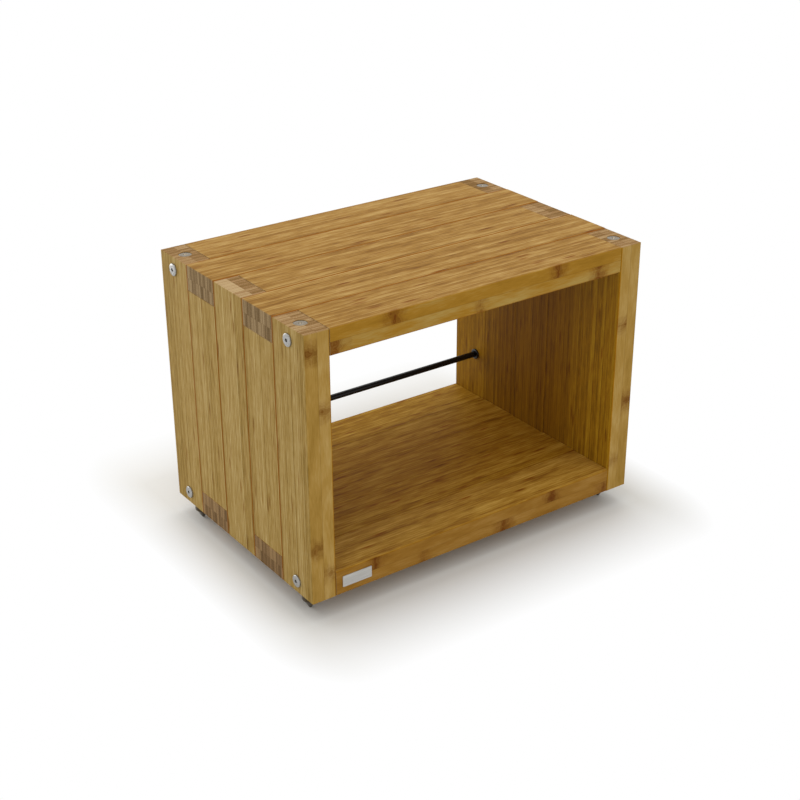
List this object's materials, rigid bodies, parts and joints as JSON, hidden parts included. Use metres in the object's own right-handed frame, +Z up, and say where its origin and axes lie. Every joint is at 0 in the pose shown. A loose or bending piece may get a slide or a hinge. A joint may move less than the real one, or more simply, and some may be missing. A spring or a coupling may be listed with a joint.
{
  "type": "record storage stand",
  "caption": "Open record stand of laminated bamboo bars with bolted interlocking corners, a rear stop rod, stacking discs and spike feet.",
  "frame": {"origin": "on the floor, under the middle of the stand", "axes": "+Z up, +X along the width to the right, -Y towards the open front where records go in"},
  "size_m": [0.606, 0.4008, 0.448],
  "materials": {
    "bamboo_side": "satin",
    "bamboo_bottom": "satin",
    "bamboo_top": "satin",
    "zinc_bolt": "satin",
    "zinc_nut": "satin",
    "spike_steel": "polished",
    "insert_zinc": "satin",
    "disc_steel": "satin",
    "black_rod": "satin",
    "black_collar": "satin",
    "badge_metal": "satin"
  },
  "bodies": {
    "carcass": {"upright_left_1": "bamboo_side", "upright_left_2": "bamboo_side", "upright_left_3": "bamboo_side", "upright_left_4": "bamboo_side", "upright_left_5": "bamboo_side", "upright_right_1": "bamboo_side", "upright_right_2": "bamboo_side", "upright_right_3": "bamboo_side", "upright_right_4": "bamboo_side", "upright_right_5": "bamboo_side", "rail_bottom_1": "bamboo_bottom", "rail_bottom_2": "bamboo_bottom", "rail_bottom_3": "bamboo_bottom", "rail_bottom_4": "bamboo_bottom", "rail_bottom_5": "bamboo_bottom", "rail_top_1": "bamboo_top", "rail_top_2": "bamboo_top", "rail_top_3": "bamboo_top", "rail_top_4": "bamboo_top", "rail_top_5": "bamboo_top", "side_bolts_left": "zinc_bolt", "side_bolts_right": "zinc_bolt", "barrel_nuts_bottom": "zinc_nut", "barrel_nuts_top": "zinc_nut", "foot_insert_front_left": "insert_zinc", "stacking_disc_front_left": "disc_steel", "foot_insert_front_right": "insert_zinc", "stacking_disc_front_right": "disc_steel", "foot_insert_rear_left": "insert_zinc", "stacking_disc_rear_left": "disc_steel", "foot_insert_rear_right": "insert_zinc", "stacking_disc_rear_right": "disc_steel", "stop_rod": "black_rod", "rod_collar_left": "black_collar", "rod_collar_right": "black_collar", "badge_plate": "badge_metal"},
    "foot_front_left": {"spike_foot_front_left": "spike_steel"},
    "foot_front_right": {"spike_foot_front_right": "spike_steel"},
    "foot_rear_left": {"spike_foot_rear_left": "spike_steel"},
    "foot_rear_right": {"spike_foot_rear_right": "spike_steel"}
  },
  "joints": [
    {"name": "level_front_left", "type": "slide", "parent": "carcass", "child": "foot_front_left", "axis": [0, 0, -1], "range_m": [0, 0.006]},
    {"name": "level_front_right", "type": "slide", "parent": "carcass", "child": "foot_front_right", "axis": [0, 0, -1], "range_m": [0, 0.006]},
    {"name": "level_rear_left", "type": "slide", "parent": "carcass", "child": "foot_rear_left", "axis": [0, 0, -1], "range_m": [0, 0.006]},
    {"name": "level_rear_right", "type": "slide", "parent": "carcass", "child": "foot_rear_right", "axis": [0, 0, -1], "range_m": [0, 0.006]}
  ]
}
